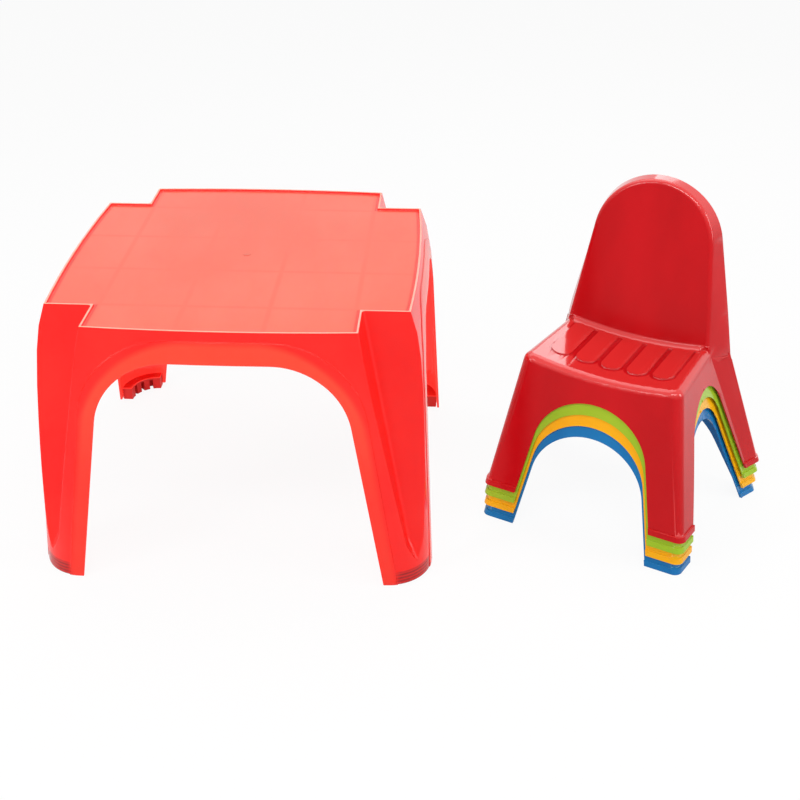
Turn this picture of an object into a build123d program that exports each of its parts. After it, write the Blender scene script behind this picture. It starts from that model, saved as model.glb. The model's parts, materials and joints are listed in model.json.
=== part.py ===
from build123d import *
import os
from math import cos, hypot, radians, sin, sqrt, tan

# A children's table and a stack of four nesting chairs, each one a thin plastic moulding.
# Millimetres, +Z up, front towards -Y, floor at Z = 0.

# Table: overall sizes
TABLE_HEIGHT = 450.0
TOP_HALF = 289.0            # centre to the edge of the top, at the ends of a side
NOTCH_HALF = 213.5          # centre to the inner corner of a corner notch
FOOT_HALF = 328.0           # centre to the outside of the feet
EDGE_BOW = 8.0              # how far each side of the top bows out at its middle
FOOT_ROUND = 71.0           # radius of the quarter-round foot
SHOULDER_TURN = 16.0        # how much of the legs' taper is in the round shoulder at the top
SHOULDER_POWER = 10.0       # how late that shoulder sets in
TABLE_WALL = 3.0
TOP_THICKNESS = 3.0
LIP_HEIGHT = 4.0
LIP_WIDTH = 4.5
LIP_BEVEL = 1.4             # how much the lip's inner wall slopes back

# Table: arches between the legs, and the raised border along them
ARCH_HEIGHT = 399.0
ARCH_FOOT_HALF = 251.0      # half the gap between two feet at the floor
ARCH_TOP_HALF = 184.5       # half the gap where the leg lines reach the arch height
ARCH_ROUND = 125.0
BORDER_RISE = 1.2
BORDER_TOP_WIDTH = 35.0
BORDER_LEG_WIDTH = 24.0

# Table: flutes that carry the corner notches down the legs
FLUTE_LOW_HALF = 288.2      # centre to the inner corner of the flute at its low end
FLUTE_LOW = 72.0            # height of that low end
FLUTE_RUNOUT = 44.0         # height over which the flute dies out below it
FLUTE_ROUND = 6.0           # radius in the flute's inner corner

# Table: ribs under the top, and the plugs in the feet
RIBS = 4                    # each way
RIB_PITCH = 136.0
RIB_THICKNESS = 2.0
RIB_DEPTH = 14.0
PLUG_HEIGHT = 24.0
PLUG_PROUD = 1.0            # the plugs stand on the floor, the shell ends this much higher
PLUG_CLEARANCE = 0.4
PLUG_GRIP_RIBS = 4
PLUG_GRIP_DEPTH = 1.0
PLUG_SLOTS = 3
PLUG_SLOT_WIDTH = 7.0
PLUG_SLOT_DEPTH = 12.0
PLUG_THICKNESS = 20.0       # how far the plug reaches in from the leg wall
FOOT_WEB = 2.5              # web in the leg that the plug is pressed up against

# Chair: stool part
SEAT_RIM = 258.0            # height where the side walls reach the seat's edge
FRONT_FOOT_HALF = 181.0
REAR_FOOT_HALF = 205.0
STOOL_DEPTH = 282.0         # front of the front feet to the front crease of the rear legs
SEAT_FRONT_HALF = 139.0
SEAT_REAR_HALF = 126.0
SEAT_SETBACK = 34.0         # front feet to the front edge of the seat
SEAT_REAR = 205.0           # front feet to the backrest, at seat height
FOOT_CORNER = 12.0
SEAT_CORNER = 18.0
CHAIR_WALL = 2.2
SEAT_LOW = 246.0            # height of the seat's front edge at its middle
SEAT_SAG = 13.0             # how far the seat dips between its sides
SEAT_TILT = 1.0             # degrees, lower at the back
SEAT_EDGE_ROUND = 14.0
SEAT_COVE = 13.0            # radius where the seat turns up into the backrest
COVE_BITE = 0.15            # how deep that round dips into both, so that it meets them cleanly

# Chair: pads on the seat and stacking ribs under it
PADS = 5
PAD_PITCH = 45.0
PAD_WIDTH = 36.0
PAD_RISE = 1.8
PAD_FRONT = 74.0
PAD_REAR = 192.0
STACK_PITCH = 21.7
STACK_GAP = 0.4
STACK_RIB = 2.0
STACK_RIB_SPACING = 80.0

# Chair: backrest, drawn as a front outline and a wider rear outline
BACK_LEAN = 8.9             # degrees
BACK_HEIGHT = 517.0
BACK_HALF = SEAT_REAR_HALF  # half the backrest's front outline at seat height
BACK_ROUND = 104.0
REAR_LEAN = 1.3             # degrees, small enough to let the next chair's skirt pass
REAR_DEPTH = 58.0           # how deep the backrest's side walls are at seat height
REAR_HALF = 147.0
REAR_ROUND = 112.0
REAR_HEIGHT = 519.0
BACK_EDGE_ROUND = 8.0
REAR_FOOT_DEPTH = 40.0
REAR_FOOT_FLARE = 16.0
REAR_CORNER = 10.0
REAR_SKIRT_TOP = 214.0      # the backrest's hollow is open at the rear down to here
PANEL_FOOT = 238.0          # how far down the backrest runs behind the seat

# Chair: arches and foot lips
FRONT_ARCH_HALF = 123.0
FRONT_ARCH_ROUND = 102.0
FRONT_ARCH_TOP = 199.0
SIDE_ARCH_FRONT = 47.0
SIDE_ARCH_REAR = 277.0
SIDE_ARCH_ROUND = 73.0
SIDE_ARCH_MIDDLE = 154.0
SIDE_ARCH_TOP = 206.0
REAR_ARCH_HALF = 180.0
REAR_ARCH_ROUND = 150.0
REAR_ARCH_TOP = 180.0
FOOT_LIP = 2.5
FOOT_LIP_HEIGHT = 10.0

# Where the stack stands beside the table
STACK_X = 579.5
STACK_Y = -195.3
STACK_TURN = -27.0          # degrees

PAST = 1.0                  # how far a cut runs past the face that it opens
FAR = 500.0                 # longer than any wall is wide
MIDDLE_TOLERANCE = 0.3      # facet size where the set's outer points are taken
OPEN_REAR = 1.25            # the backrest's hollow runs on this far past its rear edge
DISH_RADIUS = (SEAT_FRONT_HALF ** 2 + SEAT_SAG ** 2) / (2 * SEAT_SAG)
CHAIR_COLOURS = ["blue", "yellow", "green", "red"]      # from the floor up


def mix(low, high, share):
    return low + (high - low) * share


def leg_half(height):
    """Half the table's width at a height: a straight taper, then a round shoulder."""
    share = max(height, 0.0) / TABLE_HEIGHT
    taper = FOOT_HALF - TOP_HALF - SHOULDER_TURN
    return FOOT_HALF - taper * share - SHOULDER_TURN * share ** SHOULDER_POWER


def table_outline(height, grow):
    """Square with bowed sides and round corners, level at the given height."""
    half = leg_half(height) + grow
    corner = FOOT_ROUND + grow
    end = half - corner
    diagonal = end + corner * sqrt(0.5)
    side = ThreePointArc((-end, -half), (0, -half - EDGE_BOW), (end, -half))
    turn = ThreePointArc((end, -half), (diagonal, -diagonal), (half, -end))
    edges = [edge.rotate(Axis.Z, 90 * quarter) for quarter in range(4) for edge in (side, turn)]
    return Pos(0, 0, height) * make_face(edges)


def table_body(bottom, top, grow):
    """Solid within the outline, through levels that lie closer together towards the shoulder."""
    levels = [mix(bottom, top, share) for share in (0.0, 0.7, 0.83, 0.92, 1.0)]
    return loft([table_outline(level, grow) for level in levels], ruled=True)


def top_outline(height, inset):
    """Outline of the top with its notched corners, drawn in from the edge and set at a height."""
    corner = FAR - NOTCH_HALF + inset
    notch = Rectangle(corner, corner, align=Align.MIN)
    notch = Pos(NOTCH_HALF - inset, NOTCH_HALF - inset, TABLE_HEIGHT) * notch
    return Pos(0, 0, height - TABLE_HEIGHT) * (table_outline(TABLE_HEIGHT, -inset) - around(notch))


def flute_half(height):
    """Centre to the inner corner of a flute at a height."""
    share = (TABLE_HEIGHT - height) / (TABLE_HEIGHT - FLUTE_LOW)
    return NOTCH_HALF + (FLUTE_LOW_HALF - NOTCH_HALF) * share


def flute(grow):
    """One tapering corner cut, square in plan, that dies out above the foot."""
    runout_half = FOOT_HALF - FOOT_ROUND * (1 - sqrt(0.5)) + PAST
    steps = [
        (TABLE_HEIGHT + PAST, flute_half(TABLE_HEIGHT + PAST)),
        (FLUTE_LOW, FLUTE_LOW_HALF),
        (FLUTE_LOW - FLUTE_RUNOUT, runout_half),
    ]
    sections = []
    for height, half in steps:
        size = FAR - half + grow
        square = Rectangle(size, size, align=(Align.MIN, Align.MIN))
        square = fillet(square.vertices().group_by(Axis.X)[0].sort_by(Axis.Y)[0], FLUTE_ROUND + grow)
        sections.append(Pos(half - grow, half - grow, height) * square)
    return loft(sections, ruled=True)


def around(shape):
    """The shape at all four corners or sides of the table."""
    return [shape.rotate(Axis.Z, 90 * quarter) for quarter in range(4)]


def arch_prism(foot_half, top_half, top, radius):
    """Opening between two legs, cut right through the table along Y."""
    outline = Polyline(
        (-foot_half, 0), (-top_half, top), (top_half, top), (foot_half, 0), close=True
    )
    face = make_face(outline)
    face = fillet(face.vertices().group_by(Axis.Y)[-1], radius)
    foot = Pos(0, -PAST) * Rectangle(2 * foot_half, 2 * PAST)
    return extrude(Plane.XZ * (face + foot), FAR, both=True)


def plug_centre():
    """Centre of the foot's rounding where the plug is tightest, at its top."""
    return leg_half(PLUG_HEIGHT) - FOOT_ROUND


def table_core(share):
    """Space inside the shell, or a little more: the share of the wall that stays outside it."""
    wall = TABLE_WALL * share
    top = TABLE_HEIGHT - LIP_HEIGHT - TOP_THICKNESS * share
    return table_body(-PAST, top, -wall) - around(flute(wall))


def make_table_shell():
    inside = table_core(1.0)
    rooted = table_core(0.5)

    border = arch_prism(
        ARCH_FOOT_HALF + BORDER_LEG_WIDTH, ARCH_TOP_HALF + BORDER_LEG_WIDTH,
        ARCH_HEIGHT + BORDER_TOP_WIDTH, ARCH_ROUND + BORDER_LEG_WIDTH,
    )
    raised = table_body(PLUG_PROUD, TABLE_HEIGHT, BORDER_RISE)
    body = table_body(PLUG_PROUD, TABLE_HEIGHT, 0.0) - around(flute(0.0))
    body += raised & border
    body += raised & border.rotate(Axis.Z, 90)
    body -= inside

    # The sunk top leaves the lip standing round the whole outline, notches too.
    low = top_outline(TABLE_HEIGHT - LIP_HEIGHT, LIP_WIDTH)
    high = top_outline(TABLE_HEIGHT + LIP_HEIGHT, LIP_WIDTH - 2 * LIP_BEVEL)
    body -= loft([low, high], ruled=True)

    # Crossed ribs under the top.
    rib = Box(RIB_THICKNESS, 2 * FAR, RIB_DEPTH, align=(Align.CENTER, Align.CENTER, Align.MAX))
    rib_top = TABLE_HEIGHT - LIP_HEIGHT - TOP_THICKNESS / 2
    for place in range(RIBS):
        strip = Pos((place - (RIBS - 1) / 2) * RIB_PITCH, 0, rib_top) * rib
        body += strip & rooted
        body += strip.rotate(Axis.Z, 90) & rooted

    # A web in each leg, just above the plug.
    web_start = plug_centre()
    web = Box(FOOT_ROUND, FOOT_ROUND, FOOT_WEB, align=Align.MIN)
    web -= Cylinder(FOOT_ROUND - TABLE_WALL - PLUG_THICKNESS, 2 * FOOT_WEB)
    for part in around((Pos(web_start, web_start, PLUG_HEIGHT) * web) & rooted):
        body += part

    arch = arch_prism(ARCH_FOOT_HALF, ARCH_TOP_HALF, ARCH_HEIGHT, ARCH_ROUND)
    body -= arch
    body -= arch.rotate(Axis.Z, 90)
    return body


def make_foot_plug():
    """Quarter-ring plug with grip ribs outside and slots in its inner face."""
    centre = plug_centre()
    grip = FOOT_ROUND - TABLE_WALL - PLUG_CLEARANCE
    inner = FOOT_ROUND - TABLE_WALL - PLUG_THICKNESS
    upright = (Align.NONE, Align.NONE, Align.MIN)
    step = PLUG_HEIGHT / PLUG_GRIP_RIBS
    plug = Cylinder(grip - PLUG_GRIP_DEPTH, PLUG_HEIGHT, 90, align=upright)
    for rib in range(PLUG_GRIP_RIBS):
        plug += Pos(0, 0, (rib + 0.25) * step) * Cylinder(grip, step / 2, 90, align=upright)
    plug -= Cylinder(inner, 3 * PLUG_HEIGHT)
    slot = Pos(inner, 0, 0) * Box(2 * PLUG_SLOT_DEPTH, PLUG_SLOT_WIDTH, 2 * (PLUG_HEIGHT - FOOT_WEB))
    for place in range(PLUG_SLOTS):
        plug -= Rot(0, 0, 90 * (place + 1) / (PLUG_SLOTS + 1)) * slot
    return Pos(centre, centre, 0) * plug


def stool_outline(height, grow, reach=0.0):
    """Plan of the stool at a height: narrower and set back as it rises."""
    share = height / SEAT_RIM
    front = mix(0.0, SEAT_SETBACK, share)
    rear = mix(STOOL_DEPTH, SEAT_REAR, share)
    front_half = mix(FRONT_FOOT_HALF, SEAT_FRONT_HALF, share)
    rear_half = mix(REAR_FOOT_HALF, SEAT_REAR_HALF, share)
    spread = (rear_half - front_half) / (rear - front)
    far_half = rear_half + spread * reach
    face = make_face(Polyline(
        (-front_half - grow, front - grow), (front_half + grow, front - grow),
        (far_half + grow, rear + reach), (-far_half - grow, rear + reach), close=True,
    ))
    corner = mix(FOOT_CORNER, SEAT_CORNER, share) + grow
    face = fillet(face.vertices().group_by(Axis.Y)[0], corner)
    return Pos(0, 0, height) * face


def dish(deeper):
    """Round bar whose underside is the dished seat, or a surface below it."""
    bar = Cylinder(DISH_RADIUS + deeper, 3 * FAR, rotation=(90 - SEAT_TILT, 0, 0))
    return Pos(0, SEAT_SETBACK, SEAT_LOW + DISH_RADIUS) * bar


def make_stool(grow, reach, edge_round):
    bottom = -PAST if grow < 0 else 0.0
    top = SEAT_LOW + 3 * SEAT_SAG
    body = loft([stool_outline(bottom, grow, reach), stool_outline(top, grow, reach)])
    body -= dish(-grow)
    seat = body.faces().sort_by(Axis.Z)[-1]
    rim = [edge for edge in seat.edges() if edge.center().Y < PAD_REAR]
    return fillet(rim, edge_round)


def back_outline(plane, base_half, drop, centre, radius):
    """Round-topped outline on a leaning plane, its sides tangent to the round top."""
    reach = hypot(base_half, drop + centre)
    slack = sqrt(reach ** 2 - radius ** 2)
    turn_x = (radius ** 2 * base_half + radius * slack * (drop + centre)) / reach ** 2
    turn_y = centre + (-radius ** 2 * (drop + centre) + radius * slack * base_half) / reach ** 2
    outline = [
        Line((-base_half, -drop), (base_half, -drop)),
        Line((base_half, -drop), (turn_x, turn_y)),
        ThreePointArc((turn_x, turn_y), (0, centre + radius), (-turn_x, turn_y)),
        Line((-turn_x, turn_y), (-base_half, -drop)),
    ]
    return plane * make_face(outline)


def leaning_plane(depth, lean):
    return Plane((0, depth, SEAT_RIM), x_dir=(1, 0, 0), z_dir=(0, -cos(radians(lean)), sin(radians(lean))))


def make_back(wall, foot, past):
    """Backrest down to the foot height: solid without a wall, or its hollow with one."""
    drop = SEAT_RIM - foot
    front_rise = (BACK_HEIGHT - SEAT_RIM) / cos(radians(BACK_LEAN)) - BACK_ROUND
    rear_rise = (REAR_HEIGHT - SEAT_RIM) / cos(radians(REAR_LEAN)) - REAR_ROUND
    front_slope = (BACK_HALF - BACK_ROUND) / front_rise
    rear_slope = (REAR_HALF - REAR_ROUND) / rear_rise
    front_base = BACK_HALF + front_slope * drop
    rear_base = REAR_HALF + rear_slope * drop
    rear_wall = wall * hypot(1.0, (REAR_HALF - BACK_HALF) / REAR_DEPTH)
    front = back_outline(
        leaning_plane(SEAT_REAR + wall, BACK_LEAN), front_base - wall, drop, front_rise, BACK_ROUND - wall
    )
    rear = back_outline(
        leaning_plane(SEAT_REAR + REAR_DEPTH * past, mix(BACK_LEAN, REAR_LEAN, past)),
        mix(front_base, rear_base, past) - rear_wall, drop,
        mix(front_rise, rear_rise, past), mix(BACK_ROUND, REAR_ROUND, past) - rear_wall,
    )
    body = loft([front, rear], ruled=True)
    panel = body.faces().sort_by(Axis.Y)[0]
    rim = [edge for edge in panel.edges() if edge.center().Z > SEAT_RIM]
    return fillet(rim, BACK_EDGE_ROUND - wall)


def rear_outline(height, grow, overlap):
    """Plan of the rear legs and the skirt between them, behind the stool."""
    share = height / SEAT_RIM
    crease = mix(STOOL_DEPTH, SEAT_REAR, share)
    crease_half = mix(REAR_FOOT_HALF, SEAT_REAR_HALF, share)
    depth = mix(REAR_FOOT_DEPTH, REAR_DEPTH, share)
    flare = mix(REAR_FOOT_FLARE, REAR_HALF - SEAT_REAR_HALF, share)
    slope = flare / depth
    side = grow * hypot(1.0, slope)
    start_half = crease_half - overlap * slope + side
    end_half = crease_half + (depth + grow) * slope + side
    face = make_face(Polyline(
        (-start_half, crease - overlap), (start_half, crease - overlap),
        (end_half, crease + depth + grow), (-end_half, crease + depth + grow), close=True,
    ))
    face = fillet(face.vertices().group_by(Axis.Y)[-1], REAR_CORNER + grow)
    return Pos(0, 0, height) * face


def make_rear_legs(grow, overlap):
    bottom = -PAST if grow < 0 else 0.0
    return loft([rear_outline(bottom, grow, overlap), rear_outline(SEAT_RIM + grow, grow, overlap)])


def arch_face(low_a, low_b, middle, top, radius):
    """Round-topped opening: legs run from the floor points tangent to the round."""
    centre = top - radius
    points = []
    for low in (low_a, low_b):
        side = low - middle
        reach = hypot(side, centre)
        slack = sqrt(reach ** 2 - radius ** 2)
        sign = 1 if side > 0 else -1
        points.append((
            middle + (radius ** 2 * side + sign * radius * slack * centre) / reach ** 2,
            centre + (-radius ** 2 * centre + sign * radius * slack * side) / reach ** 2,
        ))
    outline = [
        Line((low_a, -PAST), (low_b, -PAST)),
        Line((low_b, -PAST), (low_b, 0)),
        Line((low_b, 0), points[1]),
        ThreePointArc(points[1], (middle, top), points[0]),
        Line(points[0], (low_a, 0)),
        Line((low_a, 0), (low_a, -PAST)),
    ]
    return make_face(outline)


def make_pads():
    """Finger-shaped pads, round in front, that follow the dish of the seat."""
    radius = PAD_WIDTH / 2
    straight = PAD_REAR - PAD_FRONT - radius
    finger = Circle(radius) + Rectangle(PAD_WIDTH, straight, align=(Align.CENTER, Align.MIN))
    block = extrude(Pos(0, PAD_FRONT + radius, SEAT_LOW - SEAT_SAG) * finger, 3 * SEAT_SAG)
    row = [Pos((place - (PADS - 1) / 2) * PAD_PITCH, 0, 0) * block for place in range(PADS)]
    layer = dish(CHAIR_WALL / 2) - dish(-PAD_RISE)
    return [pad & layer for pad in row]


def make_cove():
    """Round turn from the seat up into the backrest."""
    radius = SEAT_COVE
    lean = Pos(0, SEAT_REAR, SEAT_RIM) * Rot(-BACK_LEAN, 0, 0)
    front_reach = radius - PAST
    wide = BACK_HALF - BACK_EDGE_ROUND / 2
    narrow = wide - front_reach
    plan = make_face(Polyline(
        (-narrow, -front_reach), (narrow, -front_reach),
        (wide, CHAIR_WALL / 2), (-wide, CHAIR_WALL / 2), close=True,
    ))
    slab = extrude(plan, 2 * SEAT_SAG, both=True)
    layer = dish(CHAIR_WALL / 2) - dish(-radius)
    turn = radians(BACK_LEAN)
    inset = radius - COVE_BITE
    low = SEAT_LOW - (SEAT_REAR - SEAT_SETBACK) * tan(radians(SEAT_TILT)) + inset
    front = SEAT_REAR + (low - SEAT_RIM) * tan(turn) - inset / cos(turn)
    sweep = DISH_RADIUS - radius
    ring = Torus(sweep, radius, rotation=(90 - BACK_LEAN, 0, 0))
    ring = Pos(0, front + sweep * sin(turn), low + sweep * cos(turn)) * ring
    return ((lean * slab) & layer) - ring


def make_stack_ribs():
    """Ribs under the seat that carry the chair on the pads of the one below."""
    reach = STACK_PITCH - STACK_GAP - PAD_RISE
    layer = dish(reach) - dish(CHAIR_WALL / 2)
    middle = (PAD_FRONT + PAD_REAR) / 2
    span = (PADS - 1) * PAD_PITCH
    cross = Pos(0, middle, SEAT_LOW) * Box(span, STACK_RIB, 4 * STACK_PITCH)
    long = Pos(0, middle, SEAT_LOW) * Box(STACK_RIB, 1.5 * STACK_RIB_SPACING, 4 * STACK_PITCH)
    plates = [Pos(0, side * STACK_RIB_SPACING / 2, 0) * cross for side in (-1, 1)]
    plates += [Pos(side * PAD_PITCH, 0, 0) * long for side in (-1, 0, 1)]
    return [plate & layer for plate in plates]


def make_chair():
    wall = CHAIR_WALL
    outside = make_stool(0.0, wall, SEAT_EDGE_ROUND)
    outside += make_rear_legs(0.0, 0.0)
    outside += make_back(0.0, PANEL_FOOT, 1.0)
    lip_top = FOOT_LIP_HEIGHT
    outside += loft([stool_outline(0.0, FOOT_LIP), stool_outline(lip_top, FOOT_LIP)])
    outside += loft([rear_outline(0.0, FOOT_LIP, wall), rear_outline(lip_top, FOOT_LIP, wall)])
    hollow = make_stool(-wall, 3 * wall, SEAT_EDGE_ROUND - wall)
    hollow += make_rear_legs(-wall, -wall)
    hollow += make_back(wall, REAR_SKIRT_TOP, OPEN_REAR)
    chair = outside - hollow

    front = arch_face(-FRONT_ARCH_HALF, FRONT_ARCH_HALF, 0.0, FRONT_ARCH_TOP, FRONT_ARCH_ROUND)
    chair -= extrude(Plane.XZ * front, (STOOL_DEPTH + SEAT_SETBACK) / 2, both=True)
    side = arch_face(SIDE_ARCH_FRONT, SIDE_ARCH_REAR, SIDE_ARCH_MIDDLE, SIDE_ARCH_TOP, SIDE_ARCH_ROUND)
    chair -= extrude(Plane.YZ * side, FAR, both=True)
    rear = arch_face(-REAR_ARCH_HALF, REAR_ARCH_HALF, 0.0, REAR_ARCH_TOP, REAR_ARCH_ROUND)
    chair -= Pos(0, STOOL_DEPTH, 0) * extrude(Plane.XZ * rear, -STOOL_DEPTH)
    chair += make_cove()
    for pad in make_pads():
        chair += pad
    for rib in make_stack_ribs():
        chair += rib
    return chair


os.makedirs("parts", exist_ok=True)
table = make_table_shell()
plug = make_foot_plug()
plug_places = {"front_right": 3, "rear_right": 0, "rear_left": 1, "front_left": 2}
nodes = {"table_shell": table}
for corner, quarter in plug_places.items():
    nodes["foot_plug_" + corner] = plug.rotate(Axis.Z, 90 * quarter)
chair = make_chair()
for level, colour in enumerate(CHAIR_COLOURS):
    nodes["chair_" + colour] = Pos(STACK_X, STACK_Y, level * STACK_PITCH) * Rot(0, 0, STACK_TURN) * chair

# The origin is on the floor, under the middle of the whole set.
points = [point for shape in nodes.values() for point in shape.tessellate(MIDDLE_TOLERANCE)[0]]
middle_x = (min(point.X for point in points) + max(point.X for point in points)) / 2
middle_y = (min(point.Y for point in points) + max(point.Y for point in points)) / 2
print("middle of the set", middle_x, middle_y)
for name, shape in nodes.items():
    export_step(Pos(-middle_x, -middle_y, 0) * shape, "parts/" + name + ".step")
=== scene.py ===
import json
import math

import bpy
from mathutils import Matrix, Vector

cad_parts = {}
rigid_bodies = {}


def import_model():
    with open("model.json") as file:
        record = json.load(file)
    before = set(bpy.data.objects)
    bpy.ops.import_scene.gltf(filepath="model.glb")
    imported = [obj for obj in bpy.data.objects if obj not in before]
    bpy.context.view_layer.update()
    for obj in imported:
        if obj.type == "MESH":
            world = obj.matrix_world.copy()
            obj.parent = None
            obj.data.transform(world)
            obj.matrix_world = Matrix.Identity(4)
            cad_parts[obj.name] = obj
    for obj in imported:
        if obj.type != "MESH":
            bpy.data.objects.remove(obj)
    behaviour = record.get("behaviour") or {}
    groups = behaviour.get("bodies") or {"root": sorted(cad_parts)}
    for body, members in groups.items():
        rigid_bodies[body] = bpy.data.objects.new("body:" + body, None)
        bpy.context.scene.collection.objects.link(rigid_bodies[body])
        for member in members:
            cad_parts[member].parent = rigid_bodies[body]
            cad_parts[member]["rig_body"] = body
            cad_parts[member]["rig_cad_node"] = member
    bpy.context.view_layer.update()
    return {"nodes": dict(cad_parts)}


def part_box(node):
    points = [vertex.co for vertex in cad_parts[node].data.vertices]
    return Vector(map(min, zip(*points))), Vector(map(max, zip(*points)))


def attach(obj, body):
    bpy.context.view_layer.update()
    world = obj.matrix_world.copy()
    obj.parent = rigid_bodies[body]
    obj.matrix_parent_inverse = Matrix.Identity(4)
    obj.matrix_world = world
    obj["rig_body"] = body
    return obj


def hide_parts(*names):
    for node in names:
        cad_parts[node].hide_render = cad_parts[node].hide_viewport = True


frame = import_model()

# %% [markdown]
# # A children's table and a stack of nesting chairs
# The set is moulded plastic: one table with arched sides and fluted legs, and four chairs pushed into
# each other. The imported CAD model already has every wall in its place. What it lacks is what a mould
# gives for free: edges that are never quite sharp, a skin that is smooth across its facets, and plastic
# that has depth. This lesson adds those, piece by piece.

nodes = frame["nodes"]
table_low, table_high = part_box("table_shell")
TABLE_X = (table_low.x + table_high.x) / 2
TABLE_TOP = table_high.z

# %% [markdown]
# ## From facets to a moulded skin
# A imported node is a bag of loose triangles, so it can't be shaded smoothly. The walls could be modelled
# again by hand, but then they would drift from the solids. A copy of the node is merged instead. Flat
# walls become single faces again, and every corner that is still sharp can get a small round, as polished
# mould steel leaves it. Weighted normals keep the big walls flat while the rounds catch the light. The
# copy stands for the node, which stays where it is for the simulation.

# %% A free copy of a node, and its rounds
SHARP = math.radians(32)


def only(piece):
    """Makes this piece the one that operators act on."""
    bpy.ops.object.select_all(action="DESELECT")
    piece.select_set(True)
    bpy.context.view_layer.objects.active = piece


def copy_of(node, name):
    """A copy without the marks that make it a CAD node."""
    only(nodes[node])
    bpy.ops.object.duplicate()
    piece = bpy.context.object
    bpy.ops.object.parent_clear(type="CLEAR_KEEP_TRANSFORM")
    piece.name = name
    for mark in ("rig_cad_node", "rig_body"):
        del piece[mark]
    return piece


def round_edges(piece, width, segments):
    """Bevels every sharp edge of the active piece."""
    rounding = piece.modifiers.new("mould_round", "BEVEL")
    rounding.width = width
    rounding.segments = segments
    rounding.limit_method = "ANGLE"
    rounding.angle_limit = SHARP
    rounding.use_clamp_overlap = False
    rounding.miter_outer = "MITER_ARC"
    bpy.ops.object.modifier_apply(modifier="mould_round")


# %% The moulded piece
FLAT = math.radians(0.3)
MERGE = 1e-5


def moulded(node, name, body, edge_round=0.0, segments=3, mend=None):
    """The node's copy with joined faces, rounded edges and a smooth skin."""
    piece = copy_of(node, name)
    bpy.ops.object.mode_set(mode="EDIT")
    bpy.ops.mesh.select_all(action="SELECT")
    bpy.ops.mesh.remove_doubles(threshold=MERGE)
    if mend:
        mend(piece)
    bpy.ops.mesh.select_all(action="SELECT")
    bpy.ops.mesh.dissolve_limited(angle_limit=FLAT)
    bpy.ops.object.mode_set(mode="OBJECT")
    if edge_round:
        round_edges(piece, edge_round, segments)
    bpy.ops.object.shade_smooth_by_angle(angle=SHARP)
    normals = piece.modifiers.new("flat_walls", "WEIGHTED_NORMAL")
    normals.keep_sharp = True
    bpy.ops.object.modifier_apply(modifier="flat_walls")
    piece.data.materials.clear()
    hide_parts(node)
    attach(piece, body)
    print(name, len(piece.data.polygons), "faces")
    return piece


# %% [markdown]
# ## The table and its foot plugs
# The table's lip, arches and flutes end in edges that a hand can pass over, so they get a round of about a
# millimetre. The ribbed plugs in the feet are small and sharper. The rounds could be fillets in the solid,
# but a bevel is quick to try at other widths. A wider one on the table would break up the face of the top.

# %% Table and plugs
TABLE_EDGE = 0.0012
PLUG_EDGE, PLUG_SEGMENTS = 0.0003, 2
PLUGS = ["front_left", "front_right", "rear_left", "rear_right"]

table = moulded("table_shell", "table", "table", TABLE_EDGE)
plugs = [moulded("foot_plug_" + place, "plug_" + place, "table", PLUG_EDGE, PLUG_SEGMENTS) for place in PLUGS]

# %% [markdown]
# ## The chairs, and where the backrest runs into the rear legs
# On the real chair the backrest's side walls flow down into the legs. The solid has a small ledge there,
# where the wall ends a few millimetres outside the leg. A filler piece could hide it. It is simpler to
# pick the ledge's corners by their place in the chair and to draw them down along the wall, until they
# disappear in the leg, which is wider further down. The chairs get no bevel: where their thin walls meet
# at narrow angles, it would throw a spike.

# %% Chairs
CHAIRS = ["blue", "yellow", "green", "red"]
STACK_X, STACK_Y, STACK_TURN = 0.285566, -0.1953, math.radians(-27)
LEDGE_LOW, LEDGE_HIGH, LEDGE_DRAW = 0.2365, 0.2395, -0.014
LEDGE_HALF, LEDGE_FRONT = 0.12, 0.212


def in_chair(x, y):
    """Sideways and rearward place in the turned chair, for numbers and for shader values."""
    aside, back = x - STACK_X, y - STACK_Y
    own_x = aside * math.cos(STACK_TURN) + back * math.sin(STACK_TURN)
    own_y = back * math.cos(STACK_TURN) - aside * math.sin(STACK_TURN)
    return own_x, own_y


def draw_down_ledge(piece):
    bpy.ops.mesh.select_all(action="DESELECT")
    bpy.ops.object.mode_set(mode="OBJECT")
    foot = min(corner.co.z for corner in piece.data.vertices)
    picked = 0
    for corner in piece.data.vertices:
        own_x, own_y = in_chair(corner.co.x, corner.co.y)
        at_height = LEDGE_LOW < corner.co.z - foot < LEDGE_HIGH
        if at_height and abs(own_x) > LEDGE_HALF and own_y > LEDGE_FRONT:
            corner.select = True
            picked += 1
    bpy.ops.object.mode_set(mode="EDIT")
    bpy.ops.transform.translate(value=(0, 0, LEDGE_DRAW))
    print(picked, "ledge corners drawn down")


chairs = {}
for colour in CHAIRS:
    node = "chair_" + colour
    chairs[colour] = moulded(node, colour + "_chair", node, mend=draw_down_ledge)

# %% [markdown]
# ## Shader sums in plain Python
# A finish is a sum of masks: where the top is, where the arch has its border, where a rib shows through.
# Linked by hand, such sums are long and hard to read. A small class wraps one socket, so that
# `1 - mask * 0.3` adds the Math nodes by itself. Every other node is added by one method, which takes its
# settings and what goes into its sockets.

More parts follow.
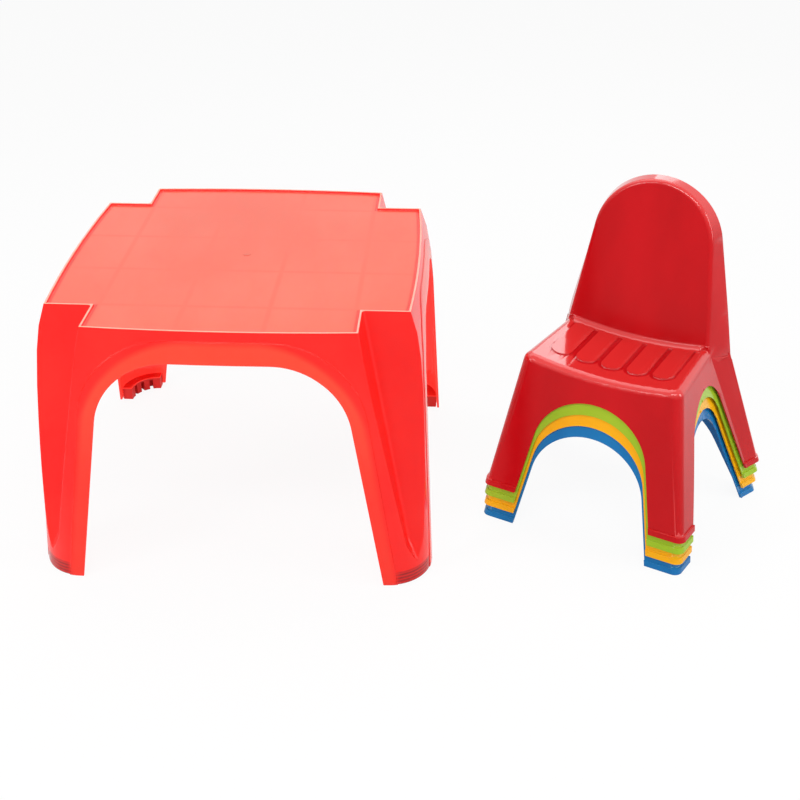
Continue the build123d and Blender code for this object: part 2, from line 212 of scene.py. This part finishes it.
# %% One value that can be calculated with
class Wire:
    """A socket, and the sheet of nodes that it is on."""

    def __init__(self, sheet, socket):
        self.sheet = sheet
        self.socket = socket

    def maths(self, operation, *others):
        return self.sheet.maths(operation, self, *others)

    def __add__(self, other):
        return self.maths("ADD", other)

    def __sub__(self, other):
        return self.maths("SUBTRACT", other)

    def __rsub__(self, other):
        return self.sheet.maths("SUBTRACT", other, self)

    def __mul__(self, other):
        return self.maths("MULTIPLY", other)

    __radd__ = __add__
    __rmul__ = __mul__

    def __abs__(self):
        return self.maths("ABSOLUTE")

    def larger(self, other):
        return self.maths("MAXIMUM", other)

    def smaller(self, other):
        return self.maths("MINIMUM", other)

    def step(self, low, high):
        """0 at low, 1 at high, and a soft change between; low may be the larger number."""
        ends = {"Value": self, "From Min": low, "From Max": high, "To Min": 0.0, "To Max": 1.0}
        return self.sheet.add("ShaderNodeMapRange", {"interpolation_type": "SMOOTHSTEP"}, ends)


# %% A sheet of nodes
class Sheet:
    """A node tree that is filled from Python."""

    def __init__(self, tree):
        self.tree = tree

    def add(self, kind, settings=None, values=None, output=0):
        node = self.tree.nodes.new(kind)
        for key, value in (settings or {}).items():
            setattr(node, key, value)
        for key, value in (values or {}).items():
            self.feed(node.inputs[key], value)
        return Wire(self, node.outputs[output])

    def feed(self, socket, value):
        if isinstance(value, Wire):
            self.tree.links.new(value.socket, socket)
        else:
            socket.default_value = value

    def maths(self, operation, *values):
        return self.add("ShaderNodeMath", {"operation": operation}, dict(enumerate(values)))

    def blend(self, share, colour_a, colour_b):
        """From colour a to colour b by a share between 0 and 1."""
        pair = [colour if isinstance(colour, Wire) else (*colour, 1.0) for colour in (colour_a, colour_b)]
        return self.add("ShaderNodeMix", {"data_type": "RGBA"}, {0: share, 6: pair[0], 7: pair[1]}, 2)


# %% A plastic finish
BUMP_DEPTH = 0.001


class Finish(Sheet):
    """A material around one Principled shader."""

    def __init__(self, name, **constants):
        self.material = bpy.data.materials.new(name)
        self.material.use_nodes = True
        super().__init__(self.material.node_tree)
        self.shader = self.tree.nodes["Principled BSDF"]
        self.put(**constants)
        self.place = self.add("ShaderNodeTexCoord", output="Object")
        self.x, self.y, self.z = self.axes(self.place)
        self.face_x, self.face_y, self.face_z = self.axes(self.add("ShaderNodeNewGeometry", output="Normal"))

    def axes(self, vector):
        return [self.add("ShaderNodeSeparateXYZ", {}, {"Vector": vector}, axis) for axis in "XYZ"]

    def noise(self, scale, detail, stretch=(1.0, 1.0, 1.0)):
        spread = self.add("ShaderNodeMapping", {}, {"Vector": self.place, "Scale": stretch})
        return self.add("ShaderNodeTexNoise", {}, {"Vector": spread, "Scale": scale, "Detail": detail})

    def bump(self, height, strength):
        values = {"Height": height, "Strength": strength, "Distance": BUMP_DEPTH}
        return self.add("ShaderNodeBump", {}, values, "Normal")

    def put(self, **values):
        """Hands numbers or finished sums to the shader's sockets."""
        for socket, value in values.items():
            self.feed(self.shader.inputs[socket.replace("_", " ")], value)


# %% [markdown]
# ## Masks on the table
# The table is thin and a little see-through. The crossed ribs under the top show as a faint grid, the
# foot plugs show through the bottom of the legs, and the raised border along the arches gets painted light.
# Image textures would need unwrapped walls. Here each mask is worked out from the place on the part, in
# metres from the table's middle, so that it stays there from every side and in every pose.

# %% The top, its ribs and its lip
LIP_HEIGHT = 0.004
TOP_FACE = TABLE_TOP - LIP_HEIGHT
TOP_FADE, TOP_FACING = (TOP_FACE - 0.006, TOP_FACE - 0.002), (0.55, 0.8)
RIB_PITCH, RIB_FADE = 0.136, (0.0065, 0.001)
TOP_HALF, TOP_NOTCH, TOP_BOW = 0.289, 0.2135, 0.008
ROOT_INNER, ROOT_OUTER = (0.0105, 0.0070), (0.0035, 0.0050)
CREST_HIGHLIGHT_FADE = TABLE_TOP - 0.0022, TABLE_TOP - 0.0006


def on_top(finish):
    return finish.face_z.step(*TOP_FACING) * finish.z.step(*TOP_FADE)


def rib_grid(u, v):
    """Lines half a pitch from the middle and every pitch from there, both ways."""
    lines = []
    for side in (u, v):
        cell = (side * (1 / RIB_PITCH)).maths("FRACT")
        lines.append((abs(cell - 0.5) * RIB_PITCH).step(*RIB_FADE))
    return lines[0].larger(lines[1])


def lip_root_shade(wide, deep):
    """Painted shade in the inner corner of the lip: a line by the distance from the notched and bowed outline
    of the top.
    """
    bow = -TOP_BOW / TOP_NOTCH ** 2
    across = (deep * deep * bow + (TOP_HALF + TOP_BOW) - wide).smaller(TOP_NOTCH - deep)
    along = (wide * wide * bow + (TOP_HALF + TOP_BOW) - deep).smaller(TOP_NOTCH - wide)
    inset = across.larger(along)
    return inset.step(*ROOT_INNER) * inset.step(*ROOT_OUTER)


# %% The border of the arches
ARCH_LOW, ARCH_SLOPE = 0.275, 0.1667
ARCH_CROWN, ARCH_ROUND = 0.434, 0.149
BORDER_FADE, LEG_TO_CROWN = (0.004, -0.009), (0.15, 0.36)
LEG_SHARE, CROWN_SHARE = 0.35, 0.5


def arch_border(finish, wide, deep):
    """Inside a round-cornered arch, on whichever side the wall faces, where the border's painted light goes;
    weaker down the legs.
    """
    faces_front = abs(finish.face_y).maths("GREATER_THAN", abs(finish.face_x))
    aside = wide * faces_front + deep * (1 - faces_front)
    out = (aside - ARCH_LOW + finish.z * ARCH_SLOPE + ARCH_ROUND).larger(0.0)
    up = (finish.z - (ARCH_CROWN - ARCH_ROUND)).larger(0.0)
    inside = ((out * out + up * up).maths("SQRT") - ARCH_ROUND).step(*BORDER_FADE)
    return inside * (LEG_SHARE + CROWN_SHARE * finish.z.step(*LEG_TO_CROWN))


# %% The plugs behind the feet, and the inner walls
PLUG_TOP, PLUG_SOFT, PLUG_STEP = 0.025, 0.002, 0.006
FOOT_CORNER, FOOT_SOFT = 0.268, 0.012
PLUG_SHARE, RIDGE_SHARE = 0.68, 0.25
INNER_FADE, INNER_FACING = (TOP_FACE - 0.004, TOP_FACE - 0.016), (-0.02, -0.10)


def plug_patch(finish, wide, deep):
    """Dark ridges at the outer corner of each foot."""
    corner = wide.step(FOOT_CORNER, FOOT_CORNER + FOOT_SOFT) * deep.step(FOOT_CORNER, FOOT_CORNER + FOOT_SOFT)
    ridge = (finish.z * (2 * math.pi / PLUG_STEP)).maths("SINE")
    low = finish.z.step(PLUG_TOP + PLUG_SOFT, PLUG_TOP - PLUG_SOFT)
    return corner * low * (PLUG_SHARE + RIDGE_SHARE * ridge)


def inner_wall(finish, u, v):
    """Walls under the top that face the table's middle."""
    outward = u * finish.face_x + v * finish.face_y
    return outward.step(*INNER_FACING) * finish.z.step(*INNER_FADE)


# %% [markdown]
# ## The table's coral plastic
# The plastic scatters light inside, so the Principled shader gets a good share of subsurface. That alone
# leaves the inner walls too dark, and a shader that really lets light through is slow and noisy in thin
# walls. So the inner walls get a weak glow, which stands for the light that comes through. Slow noise
# varies the depth of the colour, and as a bump it bends reflections as a slightly sunk wall does.

# %% Coral plastic
CORAL_DEEP, CORAL_LIGHT, CORAL_SPAN = (0.90, 0.010, 0.008), (0.93, 0.018, 0.012), (0.3, 0.75)
# The top's two colours are painted light, paler than the walls' colours.
LIT_TOP_DEEP, LIT_TOP_LIGHT, TOP_SPAN = (0.935, 0.130, 0.078), (0.95, 0.160, 0.100), (0.25, 0.8)
LIT_BORDER_CORAL, RIB_CORAL, RIB_SPAN = (0.96, 0.070, 0.032), (0.92, 0.085, 0.050), (0.35, 0.65)
ROOT_SHADE_CORAL, CREST_HIGHLIGHT_CORAL = (0.80, 0.035, 0.028), (1.0, 0.50, 0.40)
PLUG_SHADE, PASSED_LIGHT, BLACK = (0.26, 0.010, 0.010), (0.40, 0.030, 0.022), (0.0, 0.0, 0.0)
RIB_SHARE, LIP_SHARE = 0.3, 0.75
TABLE_FLOW, TABLE_FINE, TABLE_WAVE = (7.0, 4.0, (1.0, 0.45, 1.0)), (60.0, 3.0), 0.06


def coral_plastic():
    finish = Finish("coral_plastic", IOR=1.49, Specular_IOR_Level=0.3, Subsurface_Weight=0.5,
                    Subsurface_Scale=0.012, Emission_Strength=1.0)
    u, v = finish.x - TABLE_X, finish.y
    wide, deep = abs(u), abs(v)
    flow, fine = finish.noise(*TABLE_FLOW), finish.noise(*TABLE_FINE)
    top = on_top(finish)

    # Painted light: the top is paler than the walls, for light that passes through the thin top.
    pale = finish.blend(flow.step(*TOP_SPAN), LIT_TOP_DEEP, LIT_TOP_LIGHT)
    pale = finish.blend(rib_grid(u, v) * flow.step(*RIB_SPAN) * RIB_SHARE, pale, RIB_CORAL)
    # Painted shade in the inner corner of the lip.
    pale = finish.blend(lip_root_shade(wide, deep) * LIP_SHARE, pale, ROOT_SHADE_CORAL)
    # Painted highlight along the crest of the lip.
    pale = finish.blend(finish.z.step(*CREST_HIGHLIGHT_FADE) * LIP_SHARE, pale, CREST_HIGHLIGHT_CORAL)
    colour = finish.blend(flow.step(*CORAL_SPAN), CORAL_DEEP, CORAL_LIGHT)
    # Painted light on the border of the arches, for light that comes through the wall.
    colour = finish.blend(arch_border(finish, wide, deep) * (1 - top), colour, LIT_BORDER_CORAL)
    colour = finish.blend(top, colour, pale)
    colour = finish.blend(plug_patch(finish, wide, deep), colour, PLUG_SHADE)
    passed = finish.blend(inner_wall(finish, u, v), BLACK, PASSED_LIGHT)
    finish.put(Base_Color=colour, Emission_Color=passed, Roughness=0.16 + 0.08 * flow + 0.04 * fine,
               Normal=finish.bump(flow, TABLE_WAVE))
    print("coral plastic has", len(finish.tree.nodes), "shader nodes")
    return finish.material


coral = coral_plastic()
table.data.materials.append(coral)

# %% [markdown]
# ## The gate mark
# The plastic was shot into the mould through the middle of the top, and a small round mark stays there.
# A bump in the shader could show it, but would not stand out at its rim. A flat disc gets a dished middle
# by an inset that is pushed down, and its rims are rounded.

# %% Gate mark
GATE_RADIUS, GATE_RISE, GATE_RIM = 0.0065, 0.0006, 0.0022
GATE_DISH, GATE_ROUND, GATE_SIDES = -0.6 * GATE_RISE, 0.3 * GATE_RISE, 40
LOOKS_UP = 0.9

bpy.ops.object.select_all(action="DESELECT")
bpy.ops.mesh.primitive_cylinder_add(
    vertices=GATE_SIDES, radius=GATE_RADIUS, depth=2 * GATE_RISE, location=(TABLE_X, 0, TOP_FACE))
gate = bpy.context.object
gate.name = "gate_mark"
bpy.ops.object.mode_set(mode="EDIT")
bpy.ops.mesh.select_mode(type="FACE")
bpy.ops.object.mode_set(mode="OBJECT")
for face in gate.data.polygons:
    face.select = face.normal.z > LOOKS_UP
bpy.ops.object.mode_set(mode="EDIT")
bpy.ops.mesh.inset(thickness=GATE_RIM)
bpy.ops.transform.translate(value=(0, 0, GATE_DISH))
bpy.ops.mesh.select_all(action="SELECT")
bpy.ops.mesh.bevel(offset=GATE_ROUND, segments=2)
bpy.ops.object.mode_set(mode="OBJECT")
bpy.ops.object.transform_apply(location=True, rotation=True, scale=True)
bpy.ops.object.shade_smooth_by_angle(angle=SHARP)
gate.data.materials.append(coral)
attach(gate, "table")
print("gate mark", len(gate.data.polygons), "faces")

# %% [markdown]
# ## The chairs' solid colours and the plugs
# The chairs are opaque and glossier. One even colour would look like paint, so slow noise changes its
# depth along the flow of the plastic. Faces that look up are painted paler, as painted light from above,
# and have a polished coat that mirrors the studio. Between the five finger pads of the seat the deeper
# colour stays, as painted shade in a groove that light hardly reaches. The plugs share the recipe in a dull
# red without the coat.

# %% Painted shade in the grooves round the finger pads
PAD_PITCH, PAD_HALF, PADS_HALF = 0.045, 0.018, 0.1125
PAD_ROUND, PAD_REAR = 0.092, 0.194
GROOVE_EDGE, GROOVE_FADE = (-0.0006, 0.0006), (0.007, 0.004)
REAR_SOFT, SIDE_SOFT = 0.004, 0.002


def seat_groove_shade(finish):
    """1 beside the pads, where painted shade holds back the painted light, by the distance from the nearest
    finger shape in the chair's own frame.
    """
    own_x, own_y = in_chair(finish.x, finish.y)
    cell = own_x * (1 / PAD_PITCH) + 0.5
    from_middle = (cell.maths("FRACT") - 0.5) * PAD_PITCH
    from_round = (PAD_ROUND - own_y).larger(0.0)
    away = (from_middle * from_middle + from_round * from_round).maths("SQRT") - PAD_HALF
    ends = own_y.step(PAD_REAR, PAD_REAR - REAR_SOFT) * abs(own_x).step(PADS_HALF, PADS_HALF - SIDE_SOFT)
    return away.step(*GROOVE_EDGE) * away.step(*GROOVE_FADE) * ends


# %% Chair plastic and plug plastic: deep, light and lit from above
# The third colour of each chair, and of the plugs below, is painted light for faces that look up.
CHAIR_COLOURS = {
    "red": ((0.47, 0.001, 0.004), (0.55, 0.002, 0.006), (0.72, 0.030, 0.028)),
    "green": ((0.29, 0.47, 0.016), (0.34, 0.52, 0.022), (0.42, 0.62, 0.045)),
    "yellow": ((0.84, 0.38, 0.002), (0.89, 0.43, 0.004), (0.94, 0.50, 0.020)),
    "blue": ((0.005, 0.145, 0.400), (0.008, 0.175, 0.450), (0.025, 0.230, 0.520)),
}
PLUG_COLOURS = (0.74, 0.040, 0.036), (0.82, 0.055, 0.045), (0.85, 0.08, 0.06)
CHAIR_SKIN = {"gloss": 0.12, "peel": 0.06, "polish": 1.0}
PLUG_SKIN = {"gloss": 0.45, "peel": 0.2, "polish": 0.0}
SOLID_FLOW, SOLID_FINE, SOLID_WAVE = (9.0, 3.0, (1.0, 1.0, 0.4)), (90.0, 3.0), 0.05
SOLID_SPAN, SOLID_FACING = (0.3, 0.7), (0.1, 0.8)
LIT_SHARE, GROOVE_SHADE_SHARE = 0.75, 0.7


def solid_plastic(name, deep, light, lit, gloss, peel, polish):
    finish = Finish(name, IOR=1.5, Specular_IOR_Level=0.16, Coat_Roughness=0.07)
    flow, fine = finish.noise(*SOLID_FLOW), finish.noise(*SOLID_FINE)
    upward = finish.face_z.step(*SOLID_FACING)
    colour = finish.blend(flow.step(*SOLID_SPAN), deep, light)
    # Painted light on faces that look up, held back as painted shade in the seat's grooves.
    colour = finish.blend(upward * (LIT_SHARE - GROOVE_SHADE_SHARE * seat_groove_shade(finish)), colour, lit)
    finish.put(Base_Color=colour, Coat_Weight=upward * polish, Roughness=gloss + 0.06 * flow + 0.05 * fine,
               Normal=finish.bump(flow + peel * fine, SOLID_WAVE))
    return finish.material


for colour, shades in CHAIR_COLOURS.items():
    chairs[colour].data.materials.append(solid_plastic(colour + "_plastic", *shades, **CHAIR_SKIN))
plug_plastic = solid_plastic("plug_plastic", *PLUG_COLOURS, **PLUG_SKIN)
for plug in plugs:
    plug.data.materials.append(plug_plastic)
print("finishes:", [material.name for material in bpy.data.materials if material.users])

# %% [markdown]
# ## Floor and surroundings
# The set stands on a pale floor in a white studio. A floor that is only lit would come out grey beside the
# set, and more light would wash the plastic out. So the floor and the world are lifted to white just for
# what the camera, reflections and see-through rays look at, and the floor still takes a faint shadow.

# %% Floor
FLOOR_SIZE, FLOOR_LIFT = 12.0, 0.92
FLOOR_COLOUR = (0.86, 0.86, 0.86, 1)


def seen_rays(sheet):
    """1 where the camera, a reflection or a see-through ray looks."""
    names = ("Is Camera Ray", "Is Glossy Ray", "Is Transmission Ray")
    camera_ray, glossy_ray, through_ray = [sheet.add("ShaderNodeLightPath", output=name) for name in names]
    return camera_ray.larger(glossy_ray).larger(through_ray)


bpy.ops.object.select_all(action="DESELECT")
bpy.ops.mesh.primitive_plane_add(size=FLOOR_SIZE, location=(0, 0, 0))
floor = bpy.context.object
floor.name = "studio_floor"
paper = bpy.data.materials.new("floor_paper")
paper.use_nodes = True
sheet = Sheet(paper.node_tree)
sheet.tree.nodes.remove(sheet.tree.nodes["Principled BSDF"])
matt = sheet.add("ShaderNodeBsdfDiffuse", {}, {"Color": FLOOR_COLOUR})
glow = sheet.add("ShaderNodeEmission")
mixed = sheet.add("ShaderNodeMixShader", {}, {0: seen_rays(sheet) * FLOOR_LIFT, 1: matt, 2: glow})
sheet.feed(sheet.tree.nodes["Material Output"].inputs["Surface"], mixed)
floor.data.materials.append(paper)
print("floor", FLOOR_SIZE, "m across")

# %% World
AMBIENT = 0.45
WHITE = (1, 1, 1, 1)

world = bpy.data.worlds.new("studio")
bpy.context.scene.world = world
world.use_nodes = True
sheet = Sheet(world.node_tree)
sky = sheet.tree.nodes["Background"]
sheet.feed(sky.inputs["Color"], WHITE)
sheet.feed(sky.inputs["Strength"], seen_rays(sheet) * (1 - AMBIENT) + AMBIENT)
print("world lights the set at", AMBIENT)

# %% [markdown]
# ## Lamps
# Moulded plastic shows its shape by long soft highlights, which a small lamp or a sun would not give, so
# every lamp is a softbox. The large one above lights the top and the seat, the narrow one in front draws
# a line along the rounded front edges, and two at the sides light the legs. A weak one behind the chairs
# adds a sheen to the seat.

# %% Softboxes
SET_AIM, SEAT_AIM = (0.0, 0.0, 0.25), (0.42, -0.2, 0.3)


def softbox(name, place, target, size, power):
    lamp = bpy.data.lights.new(name, "AREA")
    lamp.shape = "RECTANGLE"
    lamp.size, lamp.size_y = size
    lamp.energy = power
    holder = bpy.data.objects.new(name, lamp)
    bpy.context.scene.collection.objects.link(holder)
    holder.location = place
    holder.rotation_mode = "QUATERNION"
    holder.rotation_quaternion = (Vector(target) - Vector(place)).to_track_quat("-Z", "Y")
    print("softbox", name, power, "W")


softbox("overhead", (-0.3, 0.9, 2.6), SET_AIM, (2.6, 1.6), 20)
softbox("front_top", (0.1, -1.5, 2.3), SET_AIM, (2.4, 0.35), 24)
softbox("front_left", (-2.3, -1.8, 1.6), SET_AIM, (1.0, 1.6), 30)
softbox("front_right", (2.9, -0.9, 1.4), SET_AIM, (1.0, 1.8), 34)
softbox("behind_chairs", (0.95, 2.2, 1.75), SEAT_AIM, (1.0, 0.7), 5)

# %% [markdown]
# ## Camera
# The camera looks down on the set from the front. Its place, tilt and lens were worked out together, so
# that the table's corners, arches and feet fall where the photograph has them. A nearer camera with a
# wider lens could fill the picture as well, but would splay the legs more.

# %% Camera and picture
YAW, PITCH = math.radians(-2.865), math.radians(30.42)
FOCAL_PIXELS, PICTURE, SENSOR = 1275.1, 800, 36.0
CAMERA_ASIDE, CAMERA_Y, CAMERA_Z = 0.3616, -1.9907, 1.3349

camera = bpy.data.objects.new("camera", bpy.data.cameras.new("camera"))
bpy.context.scene.collection.objects.link(camera)
camera.location = (CAMERA_ASIDE + TABLE_X, CAMERA_Y, CAMERA_Z)
sight = Vector((math.sin(YAW) * math.cos(PITCH), math.cos(YAW) * math.cos(PITCH), -math.sin(PITCH)))
camera.rotation_mode = "QUATERNION"
camera.rotation_quaternion = sight.to_track_quat("-Z", "Y")
camera.data.sensor_width = SENSOR
camera.data.lens = FOCAL_PIXELS / PICTURE * SENSOR
bpy.context.scene.camera = camera
bpy.context.scene.view_settings.view_transform = "Standard"
print("lens", round(camera.data.lens, 2), "mm")
